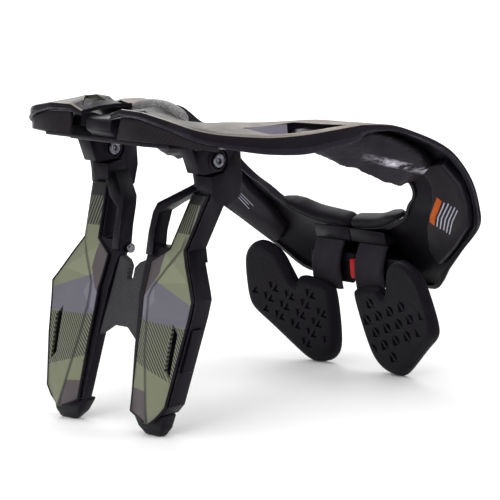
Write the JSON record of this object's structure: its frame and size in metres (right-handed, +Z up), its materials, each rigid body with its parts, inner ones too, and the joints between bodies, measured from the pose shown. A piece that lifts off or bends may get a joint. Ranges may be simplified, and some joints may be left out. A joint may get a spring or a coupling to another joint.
{
  "type": "motocross neck brace",
  "caption": "Neck brace for motocross: hinged table halves around the neck, folding back struts joined by a rubber bridge, and foam chest pads.",
  "frame": {"origin": "on the floor under the middle of the brace's box", "axes": "+X to the wearer's left, -Y to the chest, +Y to the back, +Z up"},
  "size_m": [0.2906, 0.2596, 0.2251],
  "materials": {
    "black_plastic": "satin moulded nylon",
    "grey_plastic": "satin moulded nylon",
    "camo_plastic": "satin with a printed facet pattern",
    "tan_plastic": "satin, fading to pink tan",
    "chest_foam": "moulded foam skin",
    "collar_foam": "moulded foam skin",
    "pad_fabric": "brushed loop fabric",
    "black_rubber": "fine diagonal texture",
    "steel": "socket head, bright",
    "red_plastic": "smooth"
  },
  "bodies": {
    "base": {"rear_base": "black_plastic", "rear_centre_plate": "tan_plastic", "rear_collar_pad": "pad_fabric", "left_strut_bracket": "grey_plastic", "right_strut_bracket": "grey_plastic", "left_pivot_bolt": "steel", "right_pivot_bolt": "steel"},
    "struts": {"left_strut": "black_plastic", "right_strut": "black_plastic", "left_strut_plate": "camo_plastic", "right_strut_plate": "camo_plastic", "left_strut_boot": "black_rubber", "right_strut_boot": "black_rubber", "left_strut_clip": "black_rubber", "right_strut_clip": "black_rubber", "left_bridge_screw": "steel", "right_bridge_screw": "steel", "strut_bridge": "black_rubber"},
    "left_half": {"left_table_shell": "black_plastic", "left_rear_skirt": "grey_plastic", "left_shoulder_pad": "pad_fabric", "left_side_panel": "grey_plastic", "left_collar_pad": "collar_foam", "left_arm_block": "black_plastic", "left_front_block": "black_plastic", "left_chest_arm": "grey_plastic", "left_chest_pad": "chest_foam"},
    "right_half": {"right_table_shell": "black_plastic", "right_rear_skirt": "grey_plastic", "right_shoulder_pad": "pad_fabric", "right_side_panel": "grey_plastic", "right_collar_pad": "collar_foam", "right_arm_block": "black_plastic", "right_front_block": "black_plastic", "right_chest_arm": "grey_plastic", "right_chest_pad": "chest_foam", "release_cheek": "black_plastic"},
    "lever": {"release_lever": "red_plastic"}
  },
  "joints": [
    {"name": "strut_fold", "type": "hinge", "parent": "base", "child": "struts", "pos_m": [0, 0.06579, 0.1824], "axis": [-1, 0, 0], "range_deg": [0, 45]},
    {"name": "left_half_swing", "type": "hinge", "parent": "base", "child": "left_half", "pos_m": [0.026, 0.07919, 0.2035], "axis": [0, 0, 1], "range_deg": [0, 18]},
    {"name": "right_half_swing", "type": "hinge", "parent": "base", "child": "right_half", "pos_m": [-0.026, 0.07919, 0.2035], "axis": [0, 0, -1], "range_deg": [0, 18]},
    {"name": "lever_swing", "type": "hinge", "parent": "right_half", "child": "lever", "pos_m": [-0.0035, -0.10438, 0.07903], "axis": [1, 0, 0], "range_deg": [0, 40]}
  ]
}
